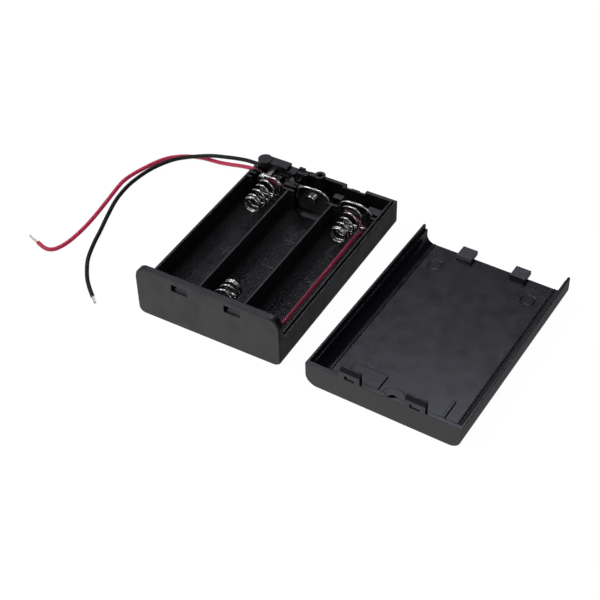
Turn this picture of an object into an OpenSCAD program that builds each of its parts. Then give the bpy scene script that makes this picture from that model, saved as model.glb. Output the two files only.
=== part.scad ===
// Three-cell AA battery holder with a loose clip-on cover, a slide switch and two leads.
// The tray lies open on its underside. The cover lies beside it with its inside up.
// X runs across the cells, Y from the flange to the switch end, Z up from the tray's underside.

/* [Cells] */
// Diameter of the cells
cell_d = 14.5; // [14:0.1:15]
// Length of the cells
cell_l = 50.5; // [49:0.5:52]
// Clearance across a cell in its bay
cell_gap = 0.1; // [0.05:0.05:0.4]
// Room in a bay beyond the cell's length, for the contacts
contact_room = 6.7; // [6:0.1:8]
// Free height over the cells under the closed cover
head_room = 0.2; // [0.1:0.1:1]

/* [Tray] */
// Thickness of the floor
floor_t = 1.2; // [1:0.1:1.8]
// Thickness of the side walls
side_t = 1.4; // [1.2:0.1:2]
// Thickness of the dividers between the bays
divider_t = 0.7; // [0.6:0.1:1.2]
// Height of the walls' outer edge, on which the cover sits
ledge_h = 9.4; // [8.5:0.1:10.5]
// Height of the inner lip above that edge
lip_h = 0.9; // [0.5:0.1:1.2]
// Thickness of the inner lip
lip_t = 0.6; // [0.4:0.1:0.7]
// Radius of the long bottom edges
tray_r = 2; // [0.5:0.1:2.5]
// Width of the flat strip on the bottom of a bay
cradle_flat = 6.6; // [5:0.2:8]
// Height of the sloped strips at their outer edge
cradle_h = 3.3; // [2.6:0.1:3.8]
// Width of the step along the top of the sloped strips
cradle_step = 0.8; // [0.4:0.1:1.2]
// Depth of the room behind the bays
switch_room = 10.3; // [9.5:0.1:12]
// Thickness of the wall at the switch end
end_t = 1.2; // [1:0.1:1.8]

/* [Flange] */
// Thickness of the flange
flange_t = 2.3; // [1.8:0.1:3]
// Radius of the flange's upper corners
flange_top_r = 3.4; // [2:0.1:4.5]
// Width of a latch window
window_w = 5.4; // [4:0.1:6.5]
// Height of a latch window
window_h = 2.6; // [2:0.1:3.2]
// Wall left above a latch window
window_top = 1.3; // [1:0.1:2]
// Distance of the latch windows and hooks from the middle
hook_x = 8.8; // [7:0.1:11]

/* [Snaps] */
// Distance of the snap tongues from the middle
tongue_x = 10; // [8:0.1:12]
// Width of a snap tongue
tongue_w = 6.3; // [4.5:0.1:7]
// Thickness of a snap tongue
tongue_t = 1.4; // [1:0.1:1.5]
// Rise of a snap tongue above the cover's edge
tongue_h = 3.5; // [3:0.1:4.4]
// Width of the catch under a tongue's window
catch_w = 2.6; // [1.6:0.1:3.2]
// Height of a tongue's window
catch_window_h = 1.3; // [0.9:0.1:1.5]
// Clearance all round a tongue and a hook
snap_gap = 0.3; // [0.2:0.05:0.5]

/* [Cover] */
// Thickness of the cover's panel
cover_t = 1.3; // [1:0.1:1.8]
// Thickness of the cover's walls
cover_wall_t = 1.4; // [1.2:0.1:2]
// Radius of the cover's long outer edges
cover_r = 3.6; // [2:0.1:4.5]
// Radius of the hollow between wall and panel
cove_r = 2.8; // [2:0.1:3.6]
// Depth of the rebate that takes the tray's lip
rebate_h = 1.6; // [1.3:0.1:2.2]
// Clearance between cover and flange
cover_gap = 0.15; // [0.1:0.05:0.4]
// Place of the middle of the cover's snap end, across the cells
cover_x = 57; // [56:1:80]
// Place of the cover's snap end, along the cells
cover_y = -37.8; // [-60:0.2:0]
// Turn of the cover as it lies
cover_turn = -1.8; // [-2:0.1:2]

/* [Screw] */
// Outer diameter of the screw boss
boss_d = 3.6; // [3.4:0.1:4.4]
// Bore of the screw boss
boss_bore = 1.8; // [1.4:0.1:2.2]
// Rise of the screw boss above the wall
boss_rise = 2; // [1.4:0.1:2.4]
// Distance of the screw boss from the middle
boss_x = 1.9; // [1:0.1:3]
// Outer diameter of the cover's screw column
column_d = 7.4; // [6.4:0.1:8]

/* [Contacts] */
// Diameter of the spring wire
wire_d = 0.7; // [0.5:0.05:0.9]
// Mean diameter of the coils at the base
coil_d = 6.3; // [5:0.1:7]
// Mean diameter of the coils at the tip
tip_d = 5.3; // [4.4:0.1:6.2]
// Number of free turns
coil_turns = 5; // [4:1:6]
// Free length of a spring from its base
spring_l = 11.5; // [10:0.1:13]
// Half width of the loop at a contact's base
loop_rx = 5.7; // [5:0.1:6]
// Half height of the loop at a contact's base
loop_rz = 4.4; // [4:0.1:4.8]
// Thickness of the contact plates
plate_t = 0.3; // [0.2:0.05:0.4]
// Width of the slots that hold the contacts
slot_t = 1.3; // [1.2:0.05:1.6]

/* [Switch] */
// Travel of the slider
travel = 3; // [2:0.1:3.4]
// Length of the knob
knob_l = 3; // [2.5:0.1:3.4]
// Width of the knob
knob_w = 2.4; // [1.8:0.1:3]
// Running clearance of the slider, each side
slide_gap = 0.1; // [0.05:0.05:0.2]
// Set-back of the knob behind the underside
knob_back = 0.3; // [0.2:0.05:0.6]

/* [Leads] */
// Diameter of the leads
lead_d = 1.3; // [1.1:0.1:1.4]
// Diameter of the bare strands
strand_d = 0.8; // [0.6:0.1:0.9]

/* [Hidden] */
eps = 0.01;

bay_w = cell_d + cell_gap;
pitch = bay_w + divider_t;
case_w = 3 * bay_w + 2 * divider_t + 2 * side_t;
bay_l = cell_l + contact_room;
case_l = flange_t + bay_l + switch_room + end_t;
closed_h = floor_t + cell_d + head_room + cover_t;
lip_top = ledge_h + lip_h;
y_front = -case_l / 2;
y_back = case_l / 2;
y_bay = y_front + flange_t;
y_room = y_bay + bay_l;
y_end = y_back - end_t;
cell_z = floor_t + cell_d / 2;
wall_x = case_w / 2 - side_t;

cover_h = closed_h - ledge_h;
cover_l = case_l - flange_t - cover_gap;
cover_lip_t = side_t - lip_t - 0.1;
cover_in_w = case_w - 2 * cover_wall_t;
cover_pad_x = -15.1;
cover_pad_w = 10.4;
cover_pad_l = 12.4;
cover_pad_t = 0.5;
cover_rib_x = 15;
cover_rib_t = 0.8;
cover_rib_l = 13.4;
column_back = 0.45;
seat_gap = 0.1;
column_h = closed_h - ledge_h - boss_rise;
screw_head_d = boss_bore + 2.2;
screw_sunk = 0.8;
mark_x = 15.3;
mark_y = 8.4;
mark_d = 4.8;
mark_w = 0.7;
mark_depth = 0.15;
bead_r = 0.22;
tongue_bevel = 1.1;
tongue_top = cover_h + tongue_h;
boss_y = boss_d / 2 + column_back + seat_gap;
hook_w = window_w - 2 * snap_gap;
hook_z = window_top + snap_gap;
hook_t = window_h - 2 * snap_gap - 0.6;
hook_post_t = 1.1;
hook_post_in = 2.4;
hook_foot = 0.8;
catch_t = catch_window_h - 0.3;
notch_w = tongue_w + 2 * snap_gap;
notch_drop = 0.8;
pad_t = 1;
y_pad = y_end - pad_t;
pad_half_w = notch_w / 2 + 0.6;

rib_t = 0.8;
rib_reach = 1.6;
y_clear = y_back - cover_wall_t - snap_gap / 2;
far_wire_y = y_room + wire_d / 2 + 0.05;
near_wire_y = y_bay + slot_t - wire_d / 2 - 0.05;
far_plate_y = y_room + wire_d + 0.1;
near_plate_y = y_bay + slot_t - wire_d - 0.1 - plate_t;
plate_w = bay_w - 2.4;
plate_low = cradle_h + 0.2;
plate_high = cell_z + loop_rz - 0.6;
button_r = 1.9;
button_h = 1.5;
arch_shift = 0.6;

post_x = -9.4;
post_w = 3.6;
post_l = 2.8;
post_rise = 1.2;
nib_w = 2;
nib_rise = 2;

chamber_x0 = -wall_x;
chamber_x1 = -pitch / 2 - divider_t / 2;
chamber_mid = (chamber_x0 + chamber_x1) / 2;
slider_l = knob_l + 2 * travel + 1;
slider_w = 4.4;
slider_h = 2.8;
slider_z = floor_t + 0.05;
slider_y = y_pad - 3.2;
slider_x = chamber_mid - travel / 2;
slot_l = knob_l + travel + 2 * slide_gap;
guide_t = 0.8;
guide_drop = 0.4;
slider_guide_y = slider_y - slider_w / 2 - slide_gap;
grip_pitch = 0.9;
grip_r = 0.25;
bridge_t = 0.3;
bridge_l = 4;
bridge_w = 2.4;
bridge_z = slider_z + slider_h;
strip_t = 0.4;
foot_z = bridge_z + bridge_t + 0.15;
post_z = foot_z + strip_t + 0.3;
foot_w = 3.4;
foot_gap = 1.2;
foot_x = slider_x + 1.6;
arm_z = ledge_h - 0.1;
arm_w = 1.6;
retainer_z = arm_z + strip_t;
retainer_t = 1.9;
retainer_w = 3.3;
retainer_l = 8.4;
retainer_low = 0.7;
stake_d = 4.6;
stake_x = chamber_x0 + 1.7;
stake_rise = 0.3;

lug_z = 9;
lug_w = 2.4;
lug_l = 2.4;
lug_x = pitch + bay_w / 2 - rib_reach - 0.1 - lug_w;
spring_lug_y = y_room + wire_d + 0.1;
lone_x = -pitch + 0.4;
lone_rx = loop_rx - 1.3;
lone_rz = loop_rz - 1.2;
spring_lug_x = -pitch - 2.1;
spring_lug_z = cell_z + lone_rz - 0.8;
exit_y = [y_room + 4.4, y_room + 7.4];
exit_z = ledge_h - 0.45;
lead_pass = 1.1;
lead_pass_z = 4.9;
drop_r = 1.15;
lead_sides = 8;
lead_join_x = -wall_x + 0.2;
lead_out_x = -case_w / 2 - 0.6;
run_x = wall_x - 1.3;
run_z = lip_top + 0.1;

// Free run of the red lead, from its exit to the end of its sleeve
red_points = [
    [lead_join_x, exit_y[0], exit_z], [lead_out_x, exit_y[0], exit_z], [-26.6, 28.8, 8.4], [-29.9, 29.9, 6.9],
    [-34, 30.8, 5.3], [-38.5, 31.8, 3.7], [-42.4, 32.9, 2.4], [-46.4, 33.5, 1.5], [-49.9, 33.2, 1],
    [-52.9, 32.3, 0.7], [-55.5, 30.5, 0.7], [-57.7, 28.1, 0.7], [-59.4, 25, 0.7], [-60.9, 21, 0.7],
    [-62.3, 16.6, 0.7], [-63, 12.4, 0.7], [-62.8, 8.4, 0.7], [-61.6, 0, 0.7], [-60.6, -8, 0.7], [-60.2, -15, 0.7],
    [-60.5, -21, 0.7], [-61.6, -25, 0.7], [-63.2, -26.8, 0.7], [-65.4, -27, 0.7], [-68.6, -26, 0.7]
];
// Bare end of the red lead
red_tip_points = [[-68.6, -26, 0.7], [-70.2, -25.5, 0.7], [-72.8, -24.5, 0.6]];
// Free run of the black lead
black_points = [
    [lead_join_x, exit_y[1], exit_z], [lead_out_x, exit_y[1], exit_z], [-28.2, 32.2, 8.1], [-32.5, 32.8, 6.9],
    [-37, 33, 5.7], [-41.5, 32.9, 4.6], [-45.8, 31.8, 3.7], [-49.8, 30, 3], [-53.4, 27.4, 2.5],
    [-56.3, 23.6, 2], [-58.4, 19.8, 1.4], [-59.8, 15.2, 0.9], [-60.3, 9.8, 0.7], [-59.5, 2.8, 0.7],
    [-57.4, -4.7, 0.7], [-55, -12, 0.7], [-53, -18.4, 0.7], [-50.3, -25, 0.7], [-46.4, -30.8, 0.7],
    [-43.1, -34.4, 0.7], [-39.3, -37.7, 0.7]
];
// Bare end of the black lead
black_tip_points = [[-39.3, -37.7, 0.7], [-38.15, -38.7, 0.7], [-37, -39.6, 0.6]];
// Red lead inside the tray, from the plate at the flange to the exit
red_inner_points = [
    [lug_x + lug_w / 2, y_bay + 1.7, lug_z + plate_t + lead_d / 2],
    [lug_x + lug_w / 2 + 0.4, y_bay + 2.6, lug_z + 1.1],
    [run_x - 0.2, y_bay + 4.6, run_z], [run_x, y_bay + 11.2, run_z + 0.1],
    [run_x - 0.1, y_bay + 23.2, run_z - 0.1], [run_x, y_room - 22, run_z + 0.1],
    [run_x - 0.1, y_room - 11.4, run_z - 0.2], [run_x - 0.3, y_room - 7.6, run_z - 1.6],
    [run_x - 0.9, y_room - 4.9, floor_t + 4.5], [run_x - 2.1, y_room - 2.5, floor_t + 1.8],
    [run_x - 3.4, y_room + 0.2, floor_t + 0.8], [run_x - 4.7, y_room + 2.8, floor_t + 0.8],
    [run_x - 7.6, y_room + 5, floor_t + 1.1], [9, y_room + 6, floor_t + 1.9],
    [3, y_room + 5.4, floor_t + 2.5], [-3, exit_y[0] + 0.2, floor_t + 3.6], [-8, exit_y[0], floor_t + 4.6],
    [-12.5, exit_y[0], floor_t + 4.8], [-16.5, exit_y[0], exit_z - 2.3], [-19.8, exit_y[0], exit_z - 0.6],
    [lead_join_x + 1, exit_y[0], exit_z], [lead_join_x, exit_y[0], exit_z]
];
// Black lead inside the tray, from the switch to the exit
black_inner_points = [
    [foot_x + foot_gap / 2 + foot_w / 2 + 1.2, exit_y[1], exit_z - 0.75], [-14.5, exit_y[1], exit_z - 0.95],
    [-17.5, exit_y[1], exit_z - 0.95], [-20, exit_y[1], exit_z - 0.25],
    [lead_join_x + 1, exit_y[1], exit_z], [lead_join_x, exit_y[1], exit_z]
];

function unit(v) = v / norm(v);
function directions(p) = [for (i = [0 : len(p) - 1]) unit(p[min(i + 1, len(p) - 1)] - p[max(i - 1, 0)])];
function side_start(t) = unit(abs(t.z) < 0.9 ? cross(t, [0, 0, 1]) : cross(t, [1, 0, 0]));
function sides_along(t) = [
    for (i = 0, n = side_start(t[0]); i < len(t);
         i = i + 1, n = i < len(t) ? unit(n - (n * t[i]) * t[i]) : n) n
];

// Round tube of diameter d through the points p
module tube(p, d, sides = lead_sides) {
    t = directions(p);
    u = sides_along(t);
    n = len(p);
    rings = [for (i = [0 : n - 1], k = [0 : sides - 1])
        let (w = cross(t[i], u[i]), a = 360 * k / sides) p[i] + d / 2 * (u[i] * cos(a) + w * sin(a))];
    walls = [for (i = [0 : n - 2], k = [0 : sides - 1])
        let (a = i * sides + k, b = i * sides + (k + 1) % sides) [a, a + sides, b + sides, b]];
    first = [for (k = [0 : sides - 1]) k];
    last = [for (k = [sides - 1 : -1 : 0]) (n - 1) * sides + k];
    polyhedron(rings, concat([first], walls, [last]), convexity = 6);
}

// Extrudes an outline drawn across the tray along Y
module along_y(y0, y1) {
    translate([0, y1, 0]) rotate([90, 0, 0]) linear_extrude(y1 - y0) children();
}

// Box from one corner to the other
module block(a, b) {
    translate(a) cube(b - a);
}

// Outline w by h with its own radius at the bottom and at the top corners
module rounded_outline(w, h, r_low, r_high) {
    translate([-w / 2, r_low]) square([w, h - r_low - r_high]);
    translate([-w / 2 + r_low, 0]) square([w - 2 * r_low, r_low + eps]);
    translate([-w / 2 + r_high, h - r_high - eps]) square([w - 2 * r_high, r_high + eps]);
    for (side = [-1, 1]) {
        translate([side * (w / 2 - r_low), r_low]) circle(r_low, $fn = 48);
        translate([side * (w / 2 - r_high), h - r_high]) circle(r_high, $fn = 48);
    }
}

// Hollow of one bay: flat strip, sloped strips and a step below straight walls
module bay_outline() {
    half = bay_w / 2;
    polygon([
        [-cradle_flat / 2, floor_t], [cradle_flat / 2, floor_t],
        [half - cradle_step, cradle_h], [half, cradle_h],
        [half, closed_h + 1], [-half, closed_h + 1],
        [-half, cradle_h], [-half + cradle_step, cradle_h]
    ]);
}

module tray_hollows() {
    for (x = [-pitch, 0, pitch])
        along_y(y_bay, y_room + eps) translate([x, 0]) bay_outline();
    // Slot across all the bays for the contacts at the flange
    block([-wall_x, y_bay, cradle_h], [wall_x, y_bay + slot_t, closed_h + 1]);
    block([-wall_x, y_room, floor_t], [wall_x, y_end, closed_h + 1]);
}

module flange() {
    edge = 0.5;
    along_y(y_front + edge, y_bay) rounded_outline(case_w, closed_h, tray_r, flange_top_r);
    hull() {
        along_y(y_front + edge, y_front + edge + eps)
            rounded_outline(case_w, closed_h, tray_r, flange_top_r);
        translate([0, 0, edge / 2]) along_y(y_front, y_front + eps)
            rounded_outline(case_w - edge, closed_h - edge, tray_r, flange_top_r);
    }
}

module side_lips() {
    lip_end = exit_y[0] - 1.6;
    for (side = [-1, 1])
        translate([side * (wall_x + lip_t / 2), 0, 0])
            block([-lip_t / 2, y_bay - eps, ledge_h - eps], [lip_t / 2, side < 0 ? lip_end : y_end, lip_top]);
}

module dividers() {
    for (side = [-1, 1])
        translate([side * pitch / 2, 0, 0])
            block([-divider_t / 2, y_bay + slot_t, floor_t], [divider_t / 2, y_room, lip_top]);
}

// Pairs of ribs that hold a contact by its edges at one end of every bay
module contact_ribs(y) {
    for (x = [-pitch, 0, pitch], side = [-1, 1])
        translate([x + side * bay_w / 2, 0, 0])
            block([-rib_reach, y, floor_t], [rib_reach, y + rib_t, lip_top]);
}

// Lugs that back the contacts at the switch end
module far_lugs() {
    y = y_room + slot_t;
    block([-wall_x - eps, y, floor_t], [-wall_x + 1.9, y + rib_t, lip_top]);
    block([-wall_x - eps, slider_guide_y - guide_t, floor_t], [-wall_x + 3.2, slider_guide_y - 0.2, lip_top]);
    block([-pitch / 2 - 3.2, y + 0.5, floor_t], [-pitch / 2, y + 2, lip_top - 0.6]);
    block([-pitch / 2, y, floor_t], [-pitch / 2 + 2.7, y + rib_t, lip_top]);
    block([-pitch / 2 - eps, y + 1.4, floor_t], [-pitch / 2 + 1.3, y + 2.2, lip_top]);
    block([pitch / 2 - 1.4, y + 1.2, floor_t], [pitch / 2 + 1.8, y + 3.3, lip_top + 0.2]);
    block([wall_x - 4.4, y + 0.2, floor_t], [wall_x + eps, y + 3.2, ledge_h + 0.6]);
}

module chamber_wall() {
    x = -pitch / 2;
    difference() {
        block([x - divider_t / 2, y_room + slot_t, floor_t], [x + divider_t / 2, y_back - eps, ledge_h]);
        block([x - 2 * divider_t, exit_y[0] - lead_pass, lead_pass_z],
            [x + 2 * divider_t, exit_y[0] + lead_pass, closed_h]);
    }
}

module switch_guides() {
    for (side = [-1, 1]) {
        y = slider_y + side * (slider_y - slider_guide_y + guide_t / 2);
        translate([0, y, 0])
            block([chamber_x0 - eps, -guide_t / 2, floor_t - eps],
                [chamber_x1 + eps, guide_t / 2, slider_z + slider_h - guide_drop]);
    }
}

// Catches for the tongues: flat below, sloped where a tongue slides on
module catches() {
    bite = 0.7 * tongue_t;
    for (side = [-1, 1])
        translate([side * tongue_x, y_back - tongue_t - snap_gap / 2, ledge_h - catch_window_h + 0.15])
            rotate([90, 0, 90]) translate([0, 0, -catch_w / 2]) linear_extrude(catch_w)
                polygon([[-0.3, 0], [bite, 0], [bite, catch_t / 2], [bite / 2, catch_t], [-0.3, catch_t]]);
}

// Post beside the screw boss, hung on the end wall, with a nib and a neck to the boss
module post() {
    x1 = post_x + post_w;
    block([post_x, y_end - post_l, post_z], [x1, y_clear, ledge_h + post_rise]);
    block([post_x, y_pad - eps, post_z], [x1, y_end + eps, ledge_h - eps]);
    block([post_x, y_clear - 0.8, ledge_h], [post_x + nib_w, y_clear, ledge_h + nib_rise]);
    block([x1 - eps, y_clear - 1.2, post_z], [-boss_x - boss_d / 2 + 0.2, y_clear, ledge_h + lip_h]);
}

module case_base() {
    color([0.13, 0.13, 0.14])
    difference() {
        union() {
            difference() {
                along_y(y_bay - eps, y_back) rounded_outline(case_w, ledge_h, tray_r, eps);
                tray_hollows();
            }
            flange();
            side_lips();
            dividers();
            intersection() {
                union() {
                    contact_ribs(y_room - rib_t);
                    contact_ribs(y_bay + slot_t);
                    far_lugs();
                }
                block([-wall_x - eps, y_bay, 0], [wall_x + eps, y_back, closed_h]);
            }
            chamber_wall();
            switch_guides();
            // Pads that back the wall behind the snap tongues
            block([-wall_x - eps, y_pad, floor_t], [-tongue_x + pad_half_w, y_end + eps, ledge_h]);
            block([tongue_x - pad_half_w, y_pad, floor_t], [tongue_x + pad_half_w, y_end + eps, ledge_h]);
            post();
            translate([-boss_x, y_back - boss_y, floor_t])
                cylinder(d = boss_d, h = ledge_h + boss_rise - floor_t, $fn = 48);
        }
        for (side = [-1, 1]) {
            // Latch windows in the flange
            block([side * hook_x - window_w / 2, y_front - 1, closed_h - window_top - window_h],
                [side * hook_x + window_w / 2, y_bay + eps, closed_h - window_top]);
            // Recesses for the snap tongues
            block([side * tongue_x - notch_w / 2, y_back - tongue_t - snap_gap / 2,
                    ledge_h - tongue_h - snap_gap],
                [side * tongue_x + notch_w / 2, y_back + 1, closed_h]);
            block([side * tongue_x - notch_w / 2, y_end - eps, ledge_h - notch_drop],
                [side * tongue_x + notch_w / 2, y_back + 1, closed_h]);
        }
        translate([-boss_x, y_back - boss_y, floor_t + 1]) cylinder(d = boss_bore, h = closed_h, $fn = 48);
        // Notches for the leads
        for (y = exit_y) {
            translate([-case_w / 2 - 1, y, exit_z]) rotate([0, 90, 0])
                cylinder(d = lead_d + 0.1, h = side_t + 2, $fn = 32);
            block([-case_w / 2 - 1, y - lead_d / 2 - 0.05, exit_z],
                [-wall_x + 1, y + lead_d / 2 + 0.05, closed_h]);
        }
        // Slot for the switch knob
        block([chamber_mid - slot_l / 2, slider_y - knob_w / 2 - slide_gap, -1],
            [chamber_mid + slot_l / 2, slider_y + knob_w / 2 + slide_gap, floor_t + 1]);
    }
    color([0.13, 0.13, 0.14]) catches();
}

// Hollow of the cover: coved along the panel, rebated along the upper edge
module cover_hollow() {
    half = cover_in_w / 2;
    translate([-half, cover_t + cove_r]) square([cover_in_w, cover_h]);
    translate([-half + cove_r, cover_t]) square([cover_in_w - 2 * cove_r, cove_r + eps]);
    for (side = [-1, 1])
        translate([side * (half - cove_r), cover_t + cove_r]) circle(cove_r, $fn = 64);
    translate([-case_w / 2 + cover_lip_t, cover_h - rebate_h])
        square([case_w - 2 * cover_lip_t, rebate_h + 1]);
}

module cover_tongues() {
    for (side = [-1, 1])
        translate([side * tongue_x, 0, 0])
            difference() {
                translate([tongue_w / 2, 0, 0]) rotate([90, 0, -90]) linear_extrude(tongue_w)
                    polygon([
                        [0, cover_t], [0, tongue_top - tongue_bevel], [-0.75 * tongue_t, tongue_top],
                        [-tongue_t, tongue_top], [-tongue_t, cover_t]
                    ]);
                block([-catch_w / 2 - snap_gap, -1, cover_h],
                    [catch_w / 2 + snap_gap, tongue_t + 1, cover_h + catch_window_h]);
            }
}

// Hooks at the open end: a post on the panel and a finger that reaches past its edge
module cover_hooks() {
    reach = flange_t - snap_gap;
    post_y = cover_l - hook_post_in;
    top = hook_z + hook_t;
    for (side = [-1, 1])
        translate([side * hook_x + hook_w / 2, 0, 0]) rotate([90, 0, -90]) linear_extrude(hook_w)
            polygon([
                [-post_y + hook_foot, cover_t - eps], [-post_y, top], [-cover_l - reach, top],
                [-cover_l - reach, hook_z], [-post_y - hook_post_t, hook_z], [-post_y - hook_post_t, cover_t - eps]
            ]);
}

module cover() {
    half = cover_in_w / 2;
    translate([cover_x, cover_y, 0]) rotate(cover_turn)
    color([0.16, 0.16, 0.17])
    difference() {
        union() {
            difference() {
                along_y(0, cover_l) rounded_outline(case_w, cover_h, cover_r, eps);
                along_y(cover_wall_t, cover_l + 1) cover_hollow();
            }
            // Beads at the foot of the coves
            for (side = [-1, 1])
                along_y(cover_wall_t - eps, cover_l)
                    translate([side * (half - cove_r), cover_t]) circle(bead_r, $fn = 24);
            cover_tongues();
            cover_hooks();
            // Raised field and low rib on the panel
            block([cover_pad_x, cover_wall_t - eps, cover_t - eps],
                [cover_pad_x + cover_pad_w, cover_pad_l, cover_t + cover_pad_t]);
            block([cover_rib_x, cover_wall_t - eps, cover_t - eps],
                [cover_rib_x + cover_rib_t, cover_rib_l, cover_t + cover_pad_t]);
            // Screw column, trimmed by the end wall
            intersection() {
                translate([boss_x, boss_y, cover_t - eps])
                    cylinder(d = column_d, h = column_h - cover_t, $fn = 64);
                block([-case_w / 2, column_back, 0], [case_w / 2, cover_l, cover_h]);
            }
        }
        // Relief for the tray's boss, clearance hole and head recess for the screw
        translate([boss_x, boss_y, column_h]) cylinder(d = boss_d + 2 * seat_gap, h = closed_h, $fn = 48);
        translate([boss_x, boss_y, -1]) cylinder(d = boss_bore + 0.4, h = closed_h, $fn = 48);
        translate([boss_x, boss_y, -1]) cylinder(d = screw_head_d, h = 1 + cover_t + screw_sunk, $fn = 48);
        // Ejector marks
        for (side = [-1, 1])
            translate([side * mark_x, cover_l - mark_y, cover_t - mark_depth]) difference() {
                cylinder(d = mark_d, h = 1, $fn = 48);
                translate([0, 0, -1]) cylinder(d = mark_d - 2 * mark_w, h = 3, $fn = 48);
            }
    }
}

// Point of a contact's base loop at an angle, flattened towards a rounded frame
function loop_point(a, rx, rz, squareness) = [
    rx * sign(cos(a)) * pow(abs(cos(a)), 2 / squareness),
    rz * sign(sin(a)) * pow(abs(sin(a)), 2 / squareness)
];

// Wire spring from its base loop to its tip. dir is the way along Y from base to tip,
// start the angle where the base loop begins and hold its turns before the coils.
function spring_points(x, y, dir, start = 90, hold = 1, rx0 = loop_rx, rz0 = loop_rz) =
    let (steps = 14, turns = coil_turns + hold + 1, tip = spring_l - wire_d / 2)
    [for (i = [0 : floor(turns * steps)])
        let (
            turn = i / steps,
            a = start - 360 * turn,
            blend = lookup(turn, [[hold, 0], [hold + 0.75, 1]]),
            coil = lookup(turn, [[hold + 1, coil_d / 2], [turns - 1.5, tip_d / 2]]),
            rx = rx0 + (coil - rx0) * blend,
            rz = rz0 + (coil - rz0) * blend,
            sq = 2.8 - 0.8 * blend,
            p = loop_point(a, rx, rz, sq),
            out = lookup(turn, [
                [hold, 0], [hold + 1, 2.2], [turns - 1.75, tip - 1.5 * wire_d],
                [turns - 0.75, tip - 0.25 * wire_d], [turns, tip]
            ])
        ) [x + p[0], y + dir * out, cell_z + p[1]]];

// Arch of wire round a contact plate, from the angle a0 to a1
function arch_points(x, y, a0, a1, steps = 16) =
    [for (i = [0 : steps])
        let (a = a0 + (a1 - a0) * i / steps, p = loop_point(a, loop_rx, loop_rz, 2.8))
        [x + p[0], y, cell_z + p[1]]];

function lone_spring_points() = spring_points(lone_x, far_wire_y, -1, rx0 = lone_rx, rz0 = lone_rz);

module negative_spring() {
    color([0.75, 0.74, 0.7])
        tube(lone_spring_points(), wire_d);
}

// Spring of the right bay and arch of the middle bay, in one wire
module far_link_wire() {
    color([0.75, 0.74, 0.7])
        tube(concat(
            arch_points(arch_shift, far_wire_y, 190, -20),
            [[pitch / 2 + 0.4, far_wire_y, cell_z - 2.4]],
            spring_points(pitch + 0.1, far_wire_y, -1, 200, 0.75)), wire_d);
}

// Spring of the middle bay and arch of the left bay, in one wire
module near_link_wire() {
    color([0.75, 0.74, 0.7])
        tube(concat(
            arch_points(-pitch, near_wire_y, 190, -20),
            [[-pitch / 2 - 0.2, near_wire_y, cell_z - 2.6]],
            spring_points(0, near_wire_y, 1, 200, 0.75)), wire_d);
}

// Half section of a drawn cap with a rounded rim
module cap_section(r, h, rim) {
    intersection() {
        square([r, h]);
        union() {
            square([r, h - rim]);
            square([r - rim, h]);
            translate([r - rim, h - rim]) circle(rim, $fn = 32);
        }
    }
}

// Stamped plate in the contact slot, with a button raised along dir
module contact_plate(x, y, dir) {
    translate([x, y, 0]) {
        difference() {
            along_y(-plate_t / 2, plate_t / 2) translate([0, plate_low])
                rounded_outline(plate_w, plate_high - plate_low, 0.6, 2.4);
            translate([0, 0, cell_z]) rotate([90, 0, 0])
                cylinder(r = button_r - plate_t, h = 2, center = true, $fn = 48);
        }
        translate([0, 0, cell_z]) rotate([-90 * dir, 0, 0]) rotate_extrude($fn = 48)
            difference() {
                cap_section(button_r, button_h, 0.7);
                cap_section(button_r - plate_t, button_h - plate_t, 0.5);
            }
    }
}

module far_positive_plate() {
    color([0.78, 0.77, 0.74]) contact_plate(0, far_plate_y + plate_t / 2, -1);
}

module near_positive_plate() {
    color([0.78, 0.77, 0.74]) contact_plate(-pitch, near_plate_y + plate_t / 2, 1);
}

// Plate at the flange with a folded lug for the red lead
module red_positive_plate() {
    y = near_wire_y;
    color([0.78, 0.77, 0.74]) {
        contact_plate(pitch, y, 1);
        block([lug_x, y - plate_t / 2, lug_z], [lug_x + lug_w, y + lug_l, lug_z + plate_t]);
    }
}

module switch_slider() {
    color([0.1, 0.1, 0.1]) translate([slider_x, slider_y, 0]) {
        block([-slider_l / 2, -slider_w / 2, slider_z], [slider_l / 2, slider_w / 2, slider_z + slider_h]);
        difference() {
            block([-knob_l / 2, -knob_w / 2, knob_back], [knob_l / 2, knob_w / 2, slider_z + eps]);
            for (x = [-grip_pitch, 0, grip_pitch])
                translate([x, 0, knob_back]) rotate([90, 0, 0])
                    cylinder(r = grip_r, h = knob_w + 1, center = true, $fn = 4);
        }
    }
}

// Spring strip that rides on the slider and joins the two terminals
module switch_bridge() {
    color([0.8, 0.7, 0.45]) translate([slider_x, slider_y, bridge_z])
        block([-bridge_l / 2, -bridge_w / 2, 0], [bridge_l / 2, bridge_w / 2, bridge_t]);
}

// Strip terminal on the end wall: a foot over the slider and a tail that rises to top
module terminal_strip(x0, x1, top) {
    block([x0, y_pad - strip_t, foot_z], [x1, y_pad, top]);
    block([x0, slider_y - bridge_w / 2, foot_z], [x1, y_pad, foot_z + strip_t]);
}

module spring_terminal() {
    color([0.8, 0.78, 0.72]) {
        terminal_strip(foot_x - foot_gap / 2 - foot_w, foot_x - foot_gap / 2, arm_z);
        translate([spring_lug_x, 0, 0]) {
            block([-arm_w / 2, spring_lug_y, arm_z], [arm_w / 2, y_pad, arm_z + strip_t]);
            block([-arm_w / 2, spring_lug_y, arm_z], [arm_w / 2, spring_lug_y + strip_t, spring_lug_z]);
        }
    }
}

module lead_terminal() {
    color([0.8, 0.78, 0.72])
        terminal_strip(foot_x + foot_gap / 2, foot_x + foot_gap / 2 + foot_w, exit_z - 0.6);
}

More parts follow.
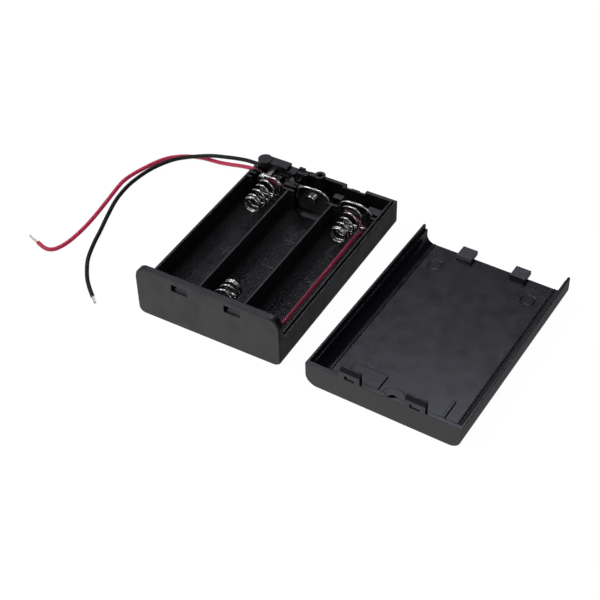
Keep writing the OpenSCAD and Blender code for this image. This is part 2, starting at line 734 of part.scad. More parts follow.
// Cap over the switch terminals, with the flattened head of its stake
module switch_retainer() {
    color([0.15, 0.15, 0.16]) {
        block([stake_x, y_clear - retainer_w, retainer_z],
            [stake_x + retainer_l, y_clear, retainer_z + retainer_t]);
        block([stake_x + retainer_l - eps, y_clear - retainer_w, retainer_z],
            [post_x - 0.3, y_clear, retainer_z + retainer_low]);
        translate([stake_x, y_clear - stake_d / 2, retainer_z])
            cylinder(d = stake_d, h = retainer_t + stake_rise, $fn = 64);
    }
}

// Drop of solder, less the pieces that it joins
module solder_on_spring() {
    color([0.8, 0.8, 0.82])
    difference() {
        translate([spring_lug_x, spring_lug_y, spring_lug_z]) sphere(drop_r, $fn = 32);
        block([spring_lug_x - 2, spring_lug_y, 0], [spring_lug_x + 2, y_end, closed_h]);
        tube(lone_spring_points(), wire_d + eps);
    }
}

module solder_on_lug() {
    color([0.8, 0.8, 0.82])
    difference() {
        translate([red_inner_points[0].x, red_inner_points[0].y + 0.3, lug_z + plate_t])
            sphere(drop_r, $fn = 32);
        block([pitch - 2, y_front, 0], [wall_x, y_room, lug_z + plate_t]);
        block([pitch - 2, y_front, 0], [wall_x, near_wire_y + plate_t / 2, closed_h]);
        tube(red_inner_points, lead_d + eps);
    }
}

module solder_on_terminal() {
    color([0.8, 0.8, 0.82])
    difference() {
        translate([black_inner_points[0].x, y_pad - strip_t, black_inner_points[0].z])
            sphere(drop_r, $fn = 32);
        block([-wall_x, y_pad - strip_t, 0], [0, y_back, closed_h]);
        tube(black_inner_points, lead_d + eps);
    }
}

module red_lead() {
    color([0.75, 0.1, 0.3]) tube(red_points, lead_d);
}

module black_lead() {
    color([0.08, 0.08, 0.08]) tube(black_points, lead_d);
}

module red_lead_tip() {
    color([0.8, 0.78, 0.75]) tube(red_tip_points, strand_d);
}

module black_lead_tip() {
    color([0.8, 0.78, 0.75]) tube(black_tip_points, strand_d);
}

module red_lead_inner() {
    color([0.75, 0.1, 0.3]) tube(red_inner_points, lead_d);
}

module black_lead_inner() {
    color([0.08, 0.08, 0.08]) tube(black_inner_points, lead_d);
}

case_base();
cover();
negative_spring();
far_link_wire();
near_link_wire();
far_positive_plate();
near_positive_plate();
red_positive_plate();
switch_slider();
switch_bridge();
spring_terminal();
lead_terminal();
switch_retainer();
solder_on_spring();
solder_on_lug();
solder_on_terminal();
red_lead();
black_lead();
red_lead_tip();
black_lead_tip();
red_lead_inner();
black_lead_inner();
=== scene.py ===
"""Three-cell battery holder with a slide switch, two leads and its clip-on cover beside it."""
import math

import bpy
from mathutils import Matrix, Vector


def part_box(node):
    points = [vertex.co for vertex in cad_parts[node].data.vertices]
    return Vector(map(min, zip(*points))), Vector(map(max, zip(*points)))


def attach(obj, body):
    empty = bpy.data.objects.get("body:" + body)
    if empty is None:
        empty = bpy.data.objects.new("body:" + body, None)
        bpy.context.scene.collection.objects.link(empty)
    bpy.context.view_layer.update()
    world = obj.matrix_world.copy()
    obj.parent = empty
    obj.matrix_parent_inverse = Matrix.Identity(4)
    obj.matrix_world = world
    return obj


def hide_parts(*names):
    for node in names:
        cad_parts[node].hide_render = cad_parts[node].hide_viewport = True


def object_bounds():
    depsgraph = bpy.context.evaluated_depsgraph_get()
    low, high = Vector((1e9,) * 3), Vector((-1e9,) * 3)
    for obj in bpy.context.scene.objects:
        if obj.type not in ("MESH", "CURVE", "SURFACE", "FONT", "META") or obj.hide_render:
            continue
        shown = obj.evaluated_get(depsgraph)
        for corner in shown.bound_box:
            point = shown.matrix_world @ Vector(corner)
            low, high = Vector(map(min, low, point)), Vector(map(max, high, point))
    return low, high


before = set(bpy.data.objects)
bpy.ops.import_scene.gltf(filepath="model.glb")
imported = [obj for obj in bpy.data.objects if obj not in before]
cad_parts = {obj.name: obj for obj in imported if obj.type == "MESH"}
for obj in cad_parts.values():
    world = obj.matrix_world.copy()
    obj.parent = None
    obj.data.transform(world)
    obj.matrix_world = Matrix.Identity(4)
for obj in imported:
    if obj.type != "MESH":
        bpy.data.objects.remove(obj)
cad_low, cad_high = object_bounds()
MM = 0.001

# Wire and leads, in millimetres, as the frame has them
WIRE_D = 0.7
LEAD_D = 1.3
STRAND_D = 0.8
COIL_R = 3.15
TIP_R = 2.65
COIL_TURNS = 5
SPRING_L = 11.5
LOOP_RX = 5.7
LOOP_RZ = 4.4
LONE_RX = 4.4
LONE_RZ = 3.2
LONE_SHIFT = 0.4
ARCH_SHIFT = 0.6
CELL_Z = 8.45
FAR_WIRE_Y = 24.4
NEAR_WIRE_Y = -32.3
left_plate_low, left_plate_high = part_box("near_positive_plate")
PITCH = -(left_plate_low.x + left_plate_high.x) / 2 / MM

# Form of the springs: the loop is squarish and turns round as the coil leaves it
SQUARENESS = 2.8
SQUARE_TO_ROUND = 0.8
BLEND_TURNS = 0.75
FIRST_RISE = 2.2
TIP_TURNS = 1.75
FLAT_TURNS = 0.75
TAPER_TURNS = 1.5
SPRING_STEPS = 40
ARCH_STEPS = 48
ARCH_ENDS = (190, -20)
LINK_START = 200
LINK_HOLD = 0.75
FAR_CROSS_SHIFT = 0.4
FAR_SPRING_SHIFT = 0.1
FAR_DROP = 2.4
NEAR_CROSS_SHIFT = 0.2
NEAR_DROP = 2.6

# Marks on the bays' floors, in millimetres
FLOOR_Z = 1.2
MARK_RISE = 0.2
MARK_SINK = 0.1
MARK_STEP = 0.01
MARK_MID_Y = 4.5
MARK_REACH = 6.5
MARK_L = 3.6
MARK_W = 0.8
BOX_FACES = ((0, 3, 2, 1), (4, 5, 6, 7), (0, 1, 5, 4), (1, 2, 6, 5), (2, 3, 7, 6), (3, 0, 4, 7))

# Strands of a bare end: six round a seventh
STRANDS = 6
STRAND_TWIST = 0.6

# Camera, in degrees, millimetres of lens and metres
CAMERA_ANGLES = (31.09, 43.03, -1.53)
CAMERA_LENS = 85.57
CAMERA_SENSOR = 36
CAMERA_CLIP = 0.01
CAMERA_AIM = (0.01492, -0.00885, 0)
CAMERA_DISTANCE = 0.41996

# Studio: brightness by direction, the table and the lamps
SIDE_WAY = 0.7
FLOOR_HALF = 3.0
FLOOR_DROP = 0.00002
FLOOR_OWN_SHARE = 0.92
FLOOR_WHITE = 1.05
# Painted light on the table as mirrors see it: least, most, and where it is full.
FLOOR_PAINTED_LIGHT = (0.16, 1.1, 0.75)
WALLS = (0.03, 0.34, -0.1)
CEILING_SHARE = 0.75
CEILING_HEIGHTS = (0.6, 0.95)
SOFT_BOX = (-0.22, 0.47, 0.855)
SOFT_BOX_STRENGTH = 9
SOFT_BOX_EDGE = (10, 5.5)
AMBIENT = 0.55
TINT = (0.93, 0.95, 1.08)
LAMP_AIM = (0.015, 0, 0)
KEY_PLACE = (-0.9, -0.5, 1.2)
KEY_POWER = 6
KEY_SIZE = (0.7, 0.5)
FILL_PLACE = (0.5, -1.1, 0.9)
FILL_POWER = 2
FILL_SIZE = (0.6, 0.6)
FLOOR_COLOUR = (0.8, 0.8, 0.8, 1)

# Moulded plastic: scales in cycles a metre, depths and radii in metres
FINE_BUMP = 0.35
WAVE_BUMP = 0.25
WAVE_DEPTH = 0.00004
WAVE_SCALE = 130
PLASTIC_COLOUR_SCALE = 70
PLASTIC_GLOSS_SCALE = 240
COARSE_DEPTH = 0.00034
COARSE_SCALE = 900
MASK_EDGE = 0.0002
FOOT_RADIUS = 0.0018
FOOT_TOP = 0.003
ERODED_GLOSS = 1.15
LIGHTER_BOX_COLOUR = (0.045, 0.045, 0.048, 1)
ERODED_BAYS = ((-0.0227, -0.033, 0.001), (0.0227, 0.0236, 0.009))
# A lighter colour over the cover's hook end, inside this box.
LIGHTER_HOOK_END = ((0.042, 0.028, 0.0016), (0.074, None, None))

# Plated metal and extruded sleeves
SOFT_BUMP = 0.3
METAL_DEPTH = 0.000012
METAL_COLOUR_SCALE = 500
METAL_GLOSS_SCALE = 1200
SLEEVE_DEPTH = 0.00002
SLEEVE_SCALE = 1800
SLEEVE_COLOUR_SCALE = 400
SLEEVE_GLOSS_SCALE = 900
SUBSURFACE = 0.05
SUBSURFACE_SCALE = 0.0005

# Routes of the leads, in metres
RED_ROUTE = [
    (-0.0224, 0.0284, 0.00895), (-0.0246, 0.0284, 0.00895), (-0.0266, 0.0288, 0.0084),
    (-0.0299, 0.0299, 0.0069), (-0.034, 0.0308, 0.0053), (-0.0385, 0.0318, 0.0037),
    (-0.0424, 0.0329, 0.0024), (-0.0464, 0.0335, 0.0015), (-0.0499, 0.0332, 0.001),
    (-0.0529, 0.0323, 0.0007), (-0.0555, 0.0305, 0.0007), (-0.0577, 0.0281, 0.0007),
    (-0.0594, 0.025, 0.0007), (-0.0609, 0.021, 0.0007), (-0.0623, 0.0166, 0.0007),
    (-0.063, 0.0124, 0.0007), (-0.0628, 0.0084, 0.0007), (-0.0616, 0, 0.0007),
    (-0.0606, -0.008, 0.0007), (-0.0602, -0.015, 0.0007), (-0.0605, -0.021, 0.0007),
    (-0.0616, -0.025, 0.0007), (-0.0632, -0.0268, 0.0007), (-0.0654, -0.027, 0.0007),
    (-0.0686, -0.026, 0.0007),
]
BLACK_ROUTE = [
    (-0.0224, 0.0314, 0.00895), (-0.0246, 0.0314, 0.00895), (-0.0282, 0.0322, 0.0081),
    (-0.0325, 0.0328, 0.0069), (-0.037, 0.033, 0.0057), (-0.0415, 0.0329, 0.0046),
    (-0.0458, 0.0318, 0.0037), (-0.0498, 0.03, 0.003), (-0.0534, 0.0274, 0.0025),
    (-0.0563, 0.0236, 0.002), (-0.0584, 0.0198, 0.0014), (-0.0598, 0.0152, 0.0009),
    (-0.0603, 0.0098, 0.0007), (-0.0595, 0.0028, 0.0007), (-0.0574, -0.0047, 0.0007),
    (-0.055, -0.012, 0.0007), (-0.053, -0.0184, 0.0007), (-0.0503, -0.025, 0.0007),
    (-0.0464, -0.0308, 0.0007), (-0.0431, -0.0344, 0.0007), (-0.0393, -0.0377, 0.0007),
]
RED_INNER_ROUTE = [
    (0.0197, -0.0315, 0.00995), (0.0201, -0.0306, 0.0101), (0.0211, -0.0286, 0.0104),
    (0.0213, -0.022, 0.0105), (0.0212, -0.01, 0.0103), (0.0213, 0.002, 0.0105), (0.0212, 0.0126, 0.0102),
    (0.021, 0.0164, 0.0088), (0.0204, 0.0191, 0.0057), (0.0192, 0.0215, 0.003), (0.0179, 0.0242, 0.002),
    (0.0166, 0.0268, 0.002), (0.0137, 0.029, 0.0023), (0.009, 0.03, 0.0031), (0.003, 0.0294, 0.0037),
    (-0.003, 0.0286, 0.0048),
    (-0.008, 0.0284, 0.0058), (-0.0125, 0.0284, 0.006), (-0.0165, 0.0284, 0.00665),
    (-0.0198, 0.0284, 0.00835), (-0.0214, 0.0284, 0.00895), (-0.0224, 0.0284, 0.00895),
]
BLACK_INNER_ROUTE = [
    (-0.0117, 0.0314, 0.0082), (-0.0145, 0.0314, 0.008), (-0.0175, 0.0314, 0.008), (-0.02, 0.0314, 0.0087),
    (-0.0214, 0.0314, 0.00895), (-0.0224, 0.0314, 0.00895),
]
RED_TIP = [(-0.0686, -0.026, 0.0007), (-0.0702, -0.0255, 0.0007), (-0.0728, -0.0245, 0.0006)]
BLACK_TIP = [(-0.0393, -0.0377, 0.0007), (-0.03815, -0.0387, 0.0007), (-0.037, -0.0396, 0.0006)]


# ---- camera ----
def add_camera():
    azimuth, elevation, roll = (math.radians(a) for a in CAMERA_ANGLES)
    back = Vector((
        math.sin(azimuth) * math.cos(elevation),
        -math.cos(azimuth) * math.cos(elevation),
        math.sin(elevation),
    ))
    right = Vector((math.cos(azimuth), math.sin(azimuth), 0))
    up = back.cross(right)
    rolled_right = right * math.cos(roll) + up * math.sin(roll)
    rolled_up = up * math.cos(roll) - right * math.sin(roll)
    data = bpy.data.cameras.new("camera")
    data.lens = CAMERA_LENS
    data.sensor_width = CAMERA_SENSOR
    data.clip_start = CAMERA_CLIP
    camera = link_object("camera", data)
    turn = Matrix((rolled_right, rolled_up, back)).transposed().to_4x4()
    camera.matrix_world = Matrix.Translation(Vector(CAMERA_AIM) + back * CAMERA_DISTANCE) @ turn
    bpy.context.scene.camera = camera


def link_object(name, data):
    made = bpy.data.objects.new(name, data)
    bpy.context.scene.collection.objects.link(made)
    return made


# ---- shader helpers ----
def node(tree, kind, inputs=(), **settings):
    """A new shader node. inputs are pairs of a socket's name or number and a value or another socket."""
    made = tree.nodes.new(kind)
    for key, value in settings.items():
        setattr(made, key, value)
    for key, value in inputs:
        if isinstance(value, bpy.types.NodeSocket):
            tree.links.new(value, made.inputs[key])
        else:
            made.inputs[key].default_value = value
    return made


def new_material(name):
    material = bpy.data.materials.new(name)
    material.use_nodes = True
    material.node_tree.nodes.clear()
    return material, material.node_tree


def place(tree):
    return node(tree, "ShaderNodeTexCoord").outputs["Object"]


def noise(tree, scale, detail=3, roughness=0.5, stretch=None):
    """Noise over the row frame, its scale in cycles a metre."""
    where = place(tree)
    if stretch:
        where = node(tree, "ShaderNodeMapping", [("Vector", where), ("Scale", stretch)]).outputs[0]
    made = node(tree, "ShaderNodeTexNoise", [
        ("Vector", where), ("Scale", scale), ("Detail", detail), ("Roughness", roughness)])
    return made.outputs["Fac"]


def ranged(tree, value, low, high, from_low=0.3, from_high=0.7):
    return node(tree, "ShaderNodeMapRange", [
        ("Value", value), ("From Min", from_low), ("From Max", from_high), ("To Min", low), ("To Max", high)
    ]).outputs[0]


def blend_colours(tree, factor, first, second):
    made = node(tree, "ShaderNodeMix", [("Factor", factor)], data_type="RGBA")
    made.inputs[6].default_value = (*first, 1)
    made.inputs[7].default_value = (*second, 1)
    return made.outputs[2]


def finish_material(tree, shader):
    out = node(tree, "ShaderNodeOutputMaterial")
    tree.links.new(shader, out.inputs["Surface"])


def combine(tree, operation, first, second):
    return node(tree, "ShaderNodeMath", [(0, first), (1, second)], operation=operation).outputs[0]


def bump_over(tree, strength, depth, height, below=None):
    """A bump, on top of the normal below where there is one."""
    inputs = [("Strength", strength), ("Distance", depth), ("Height", height)]
    if below:
        inputs.append(("Normal", below))
    return node(tree, "ShaderNodeBump", inputs).outputs[0]


def straight_ray(tree, path):
    """1 for rays that come straight from the camera, also through clear things."""
    return combine(tree, "MAXIMUM", path.outputs["Is Camera Ray"], path.outputs["Is Transmission Ray"])


# ---- materials ----
def within(tree, low, high):
    """1 inside a box of the row frame, 0 outside, with an edge that the bump can follow."""
    axes = node(tree, "ShaderNodeSeparateXYZ", [(0, place(tree))]).outputs
    share = None
    for axis in range(3):
        for limit, way in ((low[axis], 1), (high[axis], -1)):
            if limit is None:
                continue
            step = ranged(tree, axes[axis], 0, 1, limit, limit + way * MASK_EDGE)
            share = step if share is None else combine(tree, "MULTIPLY", share, step)
    return share


# Mixes a lighter colour into the plastic inside the box.
def lighter_box_colour(tree, colour, box):
    lightened = node(tree, "ShaderNodeMix", [("Factor", within(tree, *box))], data_type="RGBA")
    tree.links.new(colour, lightened.inputs[6])
    lightened.inputs[7].default_value = LIGHTER_BOX_COLOUR
    return lightened.outputs[2]


def moulded_plastic(
        name, dark, light, rough_low, rough_high, grain=9000, depth=0.000012, edge=0.0003, index=1.5,
        eroded=None, lighter_box=None):
    """Moulded plastic: fine grain, uneven gloss, rounded edges, and boxes of coarse grain or of a lighter
    colour.
    """
    material, tree = new_material(name)
    inside = within(tree, *eroded) if eroded else None
    if eroded:
        foot = within(tree, eroded[0], (None, None, FOOT_TOP))
        edge = ranged(tree, foot, edge, FOOT_RADIUS, 0, 1)
    edges = node(tree, "ShaderNodeBevel", [("Radius", edge)], samples=8).outputs[0]
    fine = bump_over(tree, FINE_BUMP, depth, noise(tree, grain, 4, 0.6), edges)
    relief = bump_over(tree, WAVE_BUMP, WAVE_DEPTH, noise(tree, WAVE_SCALE, 2), fine)
    if eroded:
        coarse = combine(tree, "MULTIPLY", noise(tree, COARSE_SCALE, 6, 0.75), inside)
        relief = bump_over(tree, 1.0, COARSE_DEPTH, coarse, relief)
    colour = blend_colours(tree, ranged(tree, noise(tree, PLASTIC_COLOUR_SCALE, 4), 0, 1), dark, light)
    gloss = ranged(tree, noise(tree, PLASTIC_GLOSS_SCALE, 5), rough_low, rough_high)
    if lighter_box:
        colour = lighter_box_colour(tree, colour, lighter_box)
    if eroded:
        gloss = combine(tree, "MULTIPLY", gloss, ranged(tree, inside, 1, ERODED_GLOSS, 0, 1))
    shader = node(tree, "ShaderNodeBsdfPrincipled", [
        ("Base Color", colour), ("Roughness", gloss), ("Normal", relief), ("IOR", index)])
    finish_material(tree, shader.outputs[0])
    return material


def plated_metal(name, dark, light, rough_low, rough_high, stretch=None, grain=5000):
    """Plated sheet or wire: faint drawing lines, and gloss that varies from place to place."""
    material, tree = new_material(name)
    bump = bump_over(tree, SOFT_BUMP, METAL_DEPTH, noise(tree, grain, 4, 0.6, stretch))
    colour = blend_colours(tree, ranged(tree, noise(tree, METAL_COLOUR_SCALE, 4), 0, 1), dark, light)
    gloss = ranged(tree, noise(tree, METAL_GLOSS_SCALE, 4), rough_low, rough_high)
    shader = node(tree, "ShaderNodeBsdfPrincipled", [
        ("Base Color", colour), ("Metallic", 1.0), ("Roughness", gloss), ("Normal", bump)])
    finish_material(tree, shader.outputs[0])
    return material


def extruded_sleeve(name, dark, light, rough_low, rough_high, index=1.5):
    """Soft extruded sleeve: slight waviness and a waxy gloss."""
    material, tree = new_material(name)
    bump = bump_over(tree, SOFT_BUMP, SLEEVE_DEPTH, noise(tree, SLEEVE_SCALE, 3))
    colour = blend_colours(tree, ranged(tree, noise(tree, SLEEVE_COLOUR_SCALE, 4), 0, 1), dark, light)
    gloss = ranged(tree, noise(tree, SLEEVE_GLOSS_SCALE, 4), rough_low, rough_high)
    shader = node(tree, "ShaderNodeBsdfPrincipled", [
        ("Base Color", colour), ("Roughness", gloss), ("Normal", bump), ("IOR", index),
        ("Subsurface Weight", SUBSURFACE), ("Subsurface Scale", SUBSURFACE_SCALE)])
    finish_material(tree, shader.outputs[0])
    return material


def red_sleeve():
    return extruded_sleeve("red_sleeve", (0.5, 0.012, 0.055), (0.66, 0.022, 0.085), 0.28, 0.42)


def red_sleeve_painted_shade():
    """The same sleeve with the tray's shade painted into its colour: a deeper copy for the run inside the
    tray.
    """
    return extruded_sleeve("red_sleeve_painted_shade", (0.12, 0.003, 0.018), (0.2, 0.006, 0.03), 0.3, 0.45)


def black_sleeve():
    return extruded_sleeve("black_sleeve", (0.002, 0.002, 0.0025), (0.004, 0.004, 0.005), 0.4, 0.55, 1.38)


def tinned_strands():
    return plated_metal("tinned_strands", (0.62, 0.6, 0.56), (0.8, 0.77, 0.72), 0.25, 0.4)


def tray_plastic():
    return moulded_plastic(
        "tray_plastic", (0.0012, 0.0012, 0.0016), (0.0022, 0.0022, 0.0028), 0.34, 0.5,
        grain=4200, depth=0.00003, eroded=ERODED_BAYS)


def cover_plastic():
    return moulded_plastic(
        "cover_plastic", (0.002, 0.002, 0.003), (0.0034, 0.0034, 0.0048), 0.19, 0.25, index=1.46,
        lighter_box=LIGHTER_HOOK_END)


def mark_plastic():
    """Like the tray's plastic but a little lighter, with a small edge radius that keeps low marks crisp."""
    return moulded_plastic(
        "mark_plastic", (0.002, 0.002, 0.0024), (0.0032, 0.0032, 0.0038), 0.3, 0.4, edge=0.0001)


def switch_plastic():
    return moulded_plastic(
        "switch_plastic", (0.002, 0.002, 0.0024), (0.0035, 0.0035, 0.004), 0.42, 0.52)


def spring_wire():
    return plated_metal("spring_wire", (0.5, 0.48, 0.44), (0.64, 0.62, 0.58), 0.06, 0.12)


def contact_plate():
    return plated_metal(
        "contact_plate", (0.34, 0.33, 0.31), (0.46, 0.45, 0.42), 0.05, 0.1, (1, 1, 8), 2500)


def terminal_strip():
    return plated_metal("terminal_strip", (0.34, 0.33, 0.3), (0.46, 0.44, 0.4), 0.2, 0.34)


def brass():
    return plated_metal("brass", (0.62, 0.42, 0.16), (0.76, 0.55, 0.25), 0.25, 0.4)


def solder():
    return plated_metal("solder", (0.6, 0.6, 0.6), (0.76, 0.76, 0.77), 0.16, 0.32, None, 1800)


def bright_side(tree, direction, way, least, most, full_at):
    """How bright the studio is along a direction, and the table's painted light in mirrors too: most at the
    front left, least at the back right.
    """
    along = node(tree, "ShaderNodeVectorMath", [
        (0, direction), (1, (-SIDE_WAY * way, -SIDE_WAY * way, 0))], operation="DOT_PRODUCT")
    return ranged(tree, along.outputs["Value"], least, most, -SIDE_WAY, full_at)


def floor_material():
    """White table: the camera sees nearly all its own white and a faint shadow. Mirrors see the table glow
    with painted light, brighter towards the front left and darker towards the back right.
    """
    material, tree = new_material("table")
    path = node(tree, "ShaderNodeLightPath")
    clear = straight_ray(tree, path)
    seen = combine(tree, "MAXIMUM", clear, path.outputs["Is Glossy Ray"])
    share = combine(tree, "MULTIPLY", seen, FLOOR_OWN_SHARE)
    incoming = node(tree, "ShaderNodeNewGeometry").outputs["Incoming"]
    # Painted light and shade: the table's glow in mirrors is brighter towards the front left, darker towards
    # the back right.
    painted_floor_light = bright_side(tree, incoming, -1, *FLOOR_PAINTED_LIGHT)
    strength = node(tree, "ShaderNodeMix", [
        ("Factor", clear), ("A", painted_floor_light), ("B", FLOOR_WHITE)]).outputs[0]
    lit = node(tree, "ShaderNodeBsdfDiffuse", [("Color", FLOOR_COLOUR)]).outputs[0]
    glow = node(tree, "ShaderNodeEmission", [("Color", (1, 1, 1, 1)), ("Strength", strength)]).outputs[0]
    both = node(tree, "ShaderNodeMixShader", [(0, share), (1, lit), (2, glow)]).outputs[0]
    finish_material(tree, both)
    return material


# ---- stage ----
def add_floor():
    mesh = bpy.data.meshes.new("table")
    half, z = FLOOR_HALF, cad_low.z - FLOOR_DROP
    corners = [(-half, -half, z), (half, -half, z), (half, half, z), (-half, half, z)]
    mesh.from_pydata(corners, [], [(0, 1, 2, 3)])
    mesh.materials.append(floor_material())
    table = link_object("table", mesh)


def add_lamp(name, where, power, size):
    data = bpy.data.lights.new(name, "AREA")
    data.energy = power
    data.shape = "RECTANGLE"
    data.size, data.size_y = size
    lamp = link_object(name, data)
    lamp.location = where
    lamp.rotation_euler = (Vector(where) - Vector(LAMP_AIM)).to_track_quat("Z", "Y").to_euler()


def soft_box(tree, direction):
    """A round soft box high up, with a soft edge."""
    near = node(tree, "ShaderNodeVectorMath", [
        (0, direction), (1, SOFT_BOX)], operation="DOT_PRODUCT").outputs["Value"]
    outer, inner = (math.cos(math.radians(angle)) for angle in SOFT_BOX_EDGE)
    return ranged(tree, near, 0, SOFT_BOX_STRENGTH, outer, inner)


def set_world():
    """White where the camera looks. Mirrors see a studio with a dark back right and a soft box high up."""
    world = bpy.data.worlds.new("studio")
    bpy.context.scene.world = world
    world.use_nodes = True
    tree = world.node_tree
    tree.nodes.clear()
    path = node(tree, "ShaderNodeLightPath")
    direction = node(tree, "ShaderNodeTexCoord").outputs["Generated"]
    height = node(tree, "ShaderNodeSeparateXYZ", [(0, direction)]).outputs["Z"]
    ceiling = ranged(tree, height, 1, CEILING_SHARE, *CEILING_HEIGHTS)
    walls = combine(tree, "MULTIPLY", bright_side(tree, direction, 1, *WALLS), ceiling)
    mirror = combine(tree, "ADD", walls, soft_box(tree, direction))
    glossy = path.outputs["Is Glossy Ray"]
    seen = node(tree, "ShaderNodeMix", [("Factor", glossy), ("A", AMBIENT), ("B", mirror)]).outputs[0]
    clear = straight_ray(tree, path)
    strength = node(tree, "ShaderNodeMix", [("Factor", clear), ("A", seen), ("B", 1.0)]).outputs[0]
    tint = blend_colours(tree, clear, TINT, (1, 1, 1))
    back = node(tree, "ShaderNodeBackground", [("Color", tint), ("Strength", strength)])
    out = node(tree, "ShaderNodeOutputWorld")
    tree.links.new(back.outputs[0], out.inputs["Surface"])


# ---- curves ----
def smooth(points, steps=8):
    """Catmull-Rom curve through the points."""
    p = [Vector(q) for q in points]
    out = []
    for i in range(len(p) - 1):
        a, b, c, d = p[max(i - 1, 0)], p[i], p[i + 1], p[min(i + 2, len(p) - 1)]
        for k in range(steps):
            t = k / steps
            out.append(0.5 * (2 * b + (c - a) * t + (2 * a - 5 * b + 4 * c - d) * t ** 2
                              + (3 * b - a - 3 * c + d) * t ** 3))
    return out + [p[-1]]


def new_curve(name, radius, sides):
    data = bpy.data.curves.new(name, "CURVE")
    data.dimensions = "3D"
    data.bevel_depth = radius
    data.bevel_resolution = sides
    data.use_fill_caps = True
    return data


def add_line(data, points):
    spline = data.splines.new("POLY")
    spline.points.add(len(points) - 1)
    for target, p in zip(spline.points, points):
        target.co = (*p, 1)
    spline.use_smooth = True


def wire(name, points, diameter, material, replaced, sides=4):
    """Round wire along the points, in metres, in place of a solid of the frame."""
    data = new_curve(name, diameter / 2, sides)
    add_line(data, points)
    data.materials.append(material)
    piece = link_object(name, data)
    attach(piece, "tray")
    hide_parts(replaced)
    return piece


def loop_point(angle, rx, rz, squareness):
    c, s = math.cos(angle), math.sin(angle)
    return (
        rx * math.copysign(abs(c) ** (2 / squareness), c),
        rz * math.copysign(abs(s) ** (2 / squareness), s),
    )


def ramp(value, keys):
    for (a, fa), (b, fb) in zip(keys, keys[1:]):
        if value <= b:
            return fa + (fb - fa) * max(0, value - a) / (b - a)
    return keys[-1][1]


def spring_points(x, y, way, start=90, hold=1, base_rx=LOOP_RX, base_rz=LOOP_RZ):
    """A spring from its base loop to its tip, in millimetres."""
    turns = COIL_TURNS + hold + 1
    tip = SPRING_L - WIRE_D / 2
    rises = [
        (hold, 0), (hold + 1, FIRST_RISE), (turns - TIP_TURNS, tip - 1.5 * WIRE_D),
        (turns - FLAT_TURNS, tip - 0.25 * WIRE_D), (turns, tip)]
    points = []
    for i in range(int(turns * SPRING_STEPS) + 1):
        turn = i / SPRING_STEPS
        blend = ramp(turn, [(hold, 0), (hold + BLEND_TURNS, 1)])
        coil = ramp(turn, [(hold + 1, COIL_R), (turns - TAPER_TURNS, TIP_R)])
        out = ramp(turn, rises)
        angle = math.radians(start) - 2 * math.pi * turn
        rx = base_rx + (coil - base_rx) * blend
        rz = base_rz + (coil - base_rz) * blend
        dx, dz = loop_point(angle, rx, rz, SQUARENESS - SQUARE_TO_ROUND * blend)
        points.append(Vector((x + dx, y + way * out, CELL_Z + dz)))
    return points


def arch_points(x, y):
    """Arch of wire round a contact plate, in millimetres."""
    first, last = ARCH_ENDS
    points = []
    for i in range(ARCH_STEPS + 1):
        angle = math.radians(first + (last - first) * i / ARCH_STEPS)
        dx, dz = loop_point(angle, LOOP_RX, LOOP_RZ, SQUARENESS)
        points.append(Vector((x + dx, y, CELL_Z + dz)))
    return points


def link_points(x_arch, x_cross, x_spring, y, way, drop):
    """An arch, the point where the wire crosses to the next bay, and that bay's spring."""
    cross = [Vector((x_cross, y, CELL_Z - drop))]
    return arch_points(x_arch, y) + cross + spring_points(x_spring, y, way, LINK_START, LINK_HOLD)


def in_metres(points):
    return [p * MM for p in points]


def add_left_spring(material):
    points = spring_points(LONE_SHIFT - PITCH, FAR_WIRE_Y, -1, base_rx=LONE_RX, base_rz=LONE_RZ)
    wire("left_spring_wire", in_metres(points), WIRE_D * MM, material, "negative_spring")


def add_far_wire(material):
    points = link_points(
        ARCH_SHIFT, PITCH / 2 + FAR_CROSS_SHIFT, PITCH + FAR_SPRING_SHIFT, FAR_WIRE_Y, -1, FAR_DROP)
    wire("far_wire", in_metres(points), WIRE_D * MM, material, "far_link_wire")


def add_near_wire(material):
    points = link_points(-PITCH, -PITCH / 2 - NEAR_CROSS_SHIFT, 0, NEAR_WIRE_Y, 1, NEAR_DROP)
    wire("near_wire", in_metres(points), WIRE_D * MM, material, "near_link_wire")


def add_mark(name, x, y, turns, material):
    """Raised mark on a bay's floor, one bar for each turn in degrees."""
    mesh = bpy.data.meshes.new(name)
    corners, faces = [], []
    for k, turn in enumerate(turns):
        along = Matrix.Rotation(math.radians(turn), 3, "Z")
        low, high = FLOOR_Z - MARK_SINK, FLOOR_Z + MARK_RISE + MARK_STEP * k
        for z in (low, high):
            for sx, sy in ((-1, -1), (1, -1), (1, 1), (-1, 1)):
                corner = along @ Vector((sx * MARK_L / 2, sy * MARK_W / 2, 0)) + Vector((x, y, z))
                corners.append(corner * MM)
        first = 8 * k
        faces += [[first + i for i in face] for face in BOX_FACES]
    mesh.from_pydata(corners, [], faces)
    mesh.materials.append(material)
    piece = link_object(name, mesh)
    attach(piece, "tray")


def add_marks(material):
    """Moulded plus and minus at the ends of the bays, the minus beside each spring."""
    for name, x, way in (("left", -PITCH, 1), ("middle", 0, -1), ("right", PITCH, 1)):
        add_mark(name + "_minus_mark", x, MARK_MID_Y + way * MARK_REACH, (0,), material)
        add_mark(name + "_plus_mark", x, MARK_MID_Y - way * MARK_REACH, (0, 90), material)


def route_length(points):
    return sum((b - a).length for a, b in zip(points, points[1:]))


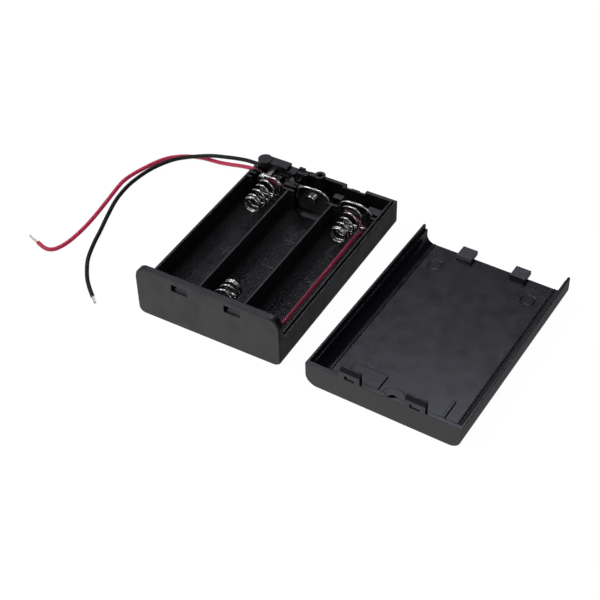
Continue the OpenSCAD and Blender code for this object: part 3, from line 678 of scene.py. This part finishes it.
def strand_points(line, radius, k):
    """Points of strand k, which winds round the line; the last strand is the core."""
    length = route_length(line)
    gone = 0.0
    points = []
    for i, p in enumerate(line):
        if i:
            gone += (p - line[i - 1]).length
        along = (line[min(i + 1, len(line) - 1)] - line[max(i - 1, 0)]).normalized()
        side = along.cross(Vector((0, 0, 1))).normalized()
        over = side.cross(along)
        angle = 2 * math.pi * (k / STRANDS + STRAND_TWIST * gone / length)
        reach = 0 if k == STRANDS else 2 * radius
        points.append(p + reach * (side * math.cos(angle) + over * math.sin(angle)))
    return points


def add_strands(name, points, material, replaced):
    """Six strands laid round a seventh, over the bare end of a lead."""
    line = smooth(points, 10)
    radius = STRAND_D * MM / 6
    data = new_curve(name, radius, 3)
    for k in range(STRANDS + 1):
        add_line(data, strand_points(line, radius, k))
    data.materials.append(material)
    piece = link_object(name, data)
    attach(piece, "tray")
    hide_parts(replaced)
    return piece


def add_free_lead(name, route, tip, sleeve, tinned, lay):
    line = smooth(route)
    strands = add_strands(name + "_strands", tip, tinned, lay + "_tip")
    piece = wire(name, line, LEAD_D * MM, sleeve, lay, sides=6)


def add_leads(red, red_shaded_copy, black, tinned):
    add_free_lead("red_free_lead", RED_ROUTE, RED_TIP, red, tinned, "red_lead")
    add_free_lead("black_free_lead", BLACK_ROUTE, BLACK_TIP, black, tinned, "black_lead")
    # Painted shade: the run inside the tray uses a darker copy of the red sleeve's colour.
    wire("red_run", smooth(RED_INNER_ROUTE), LEAD_D * MM, red_shaded_copy, "red_lead_inner", sides=6)
    wire("black_run", smooth(BLACK_INNER_ROUTE), LEAD_D * MM, black, "black_lead_inner", sides=6)


def dress(names, material):
    """Gives solids of the frame their material."""
    for name in names:
        for slot in bpy.data.objects[name].material_slots:
            slot.material = material


add_camera()
add_leads(red_sleeve(), red_sleeve_painted_shade(), black_sleeve(), tinned_strands())

dress(["case_base"], tray_plastic())
dress(["cover"], cover_plastic())
dress(["switch_slider", "switch_retainer"], switch_plastic())
dress(["far_positive_plate", "near_positive_plate", "red_positive_plate"], contact_plate())
dress(["spring_terminal", "lead_terminal"], terminal_strip())
dress(["switch_bridge"], brass())
dress(["solder_on_spring", "solder_on_lug", "solder_on_terminal"], solder())
plated_wire = spring_wire()
add_left_spring(plated_wire)
add_far_wire(plated_wire)
add_near_wire(plated_wire)
add_marks(mark_plastic())

add_floor()
set_world()
add_lamp("key", KEY_PLACE, KEY_POWER, KEY_SIZE)
add_lamp("fill", FILL_PLACE, FILL_POWER, FILL_SIZE)
bpy.context.scene.view_settings.view_transform = "Standard"
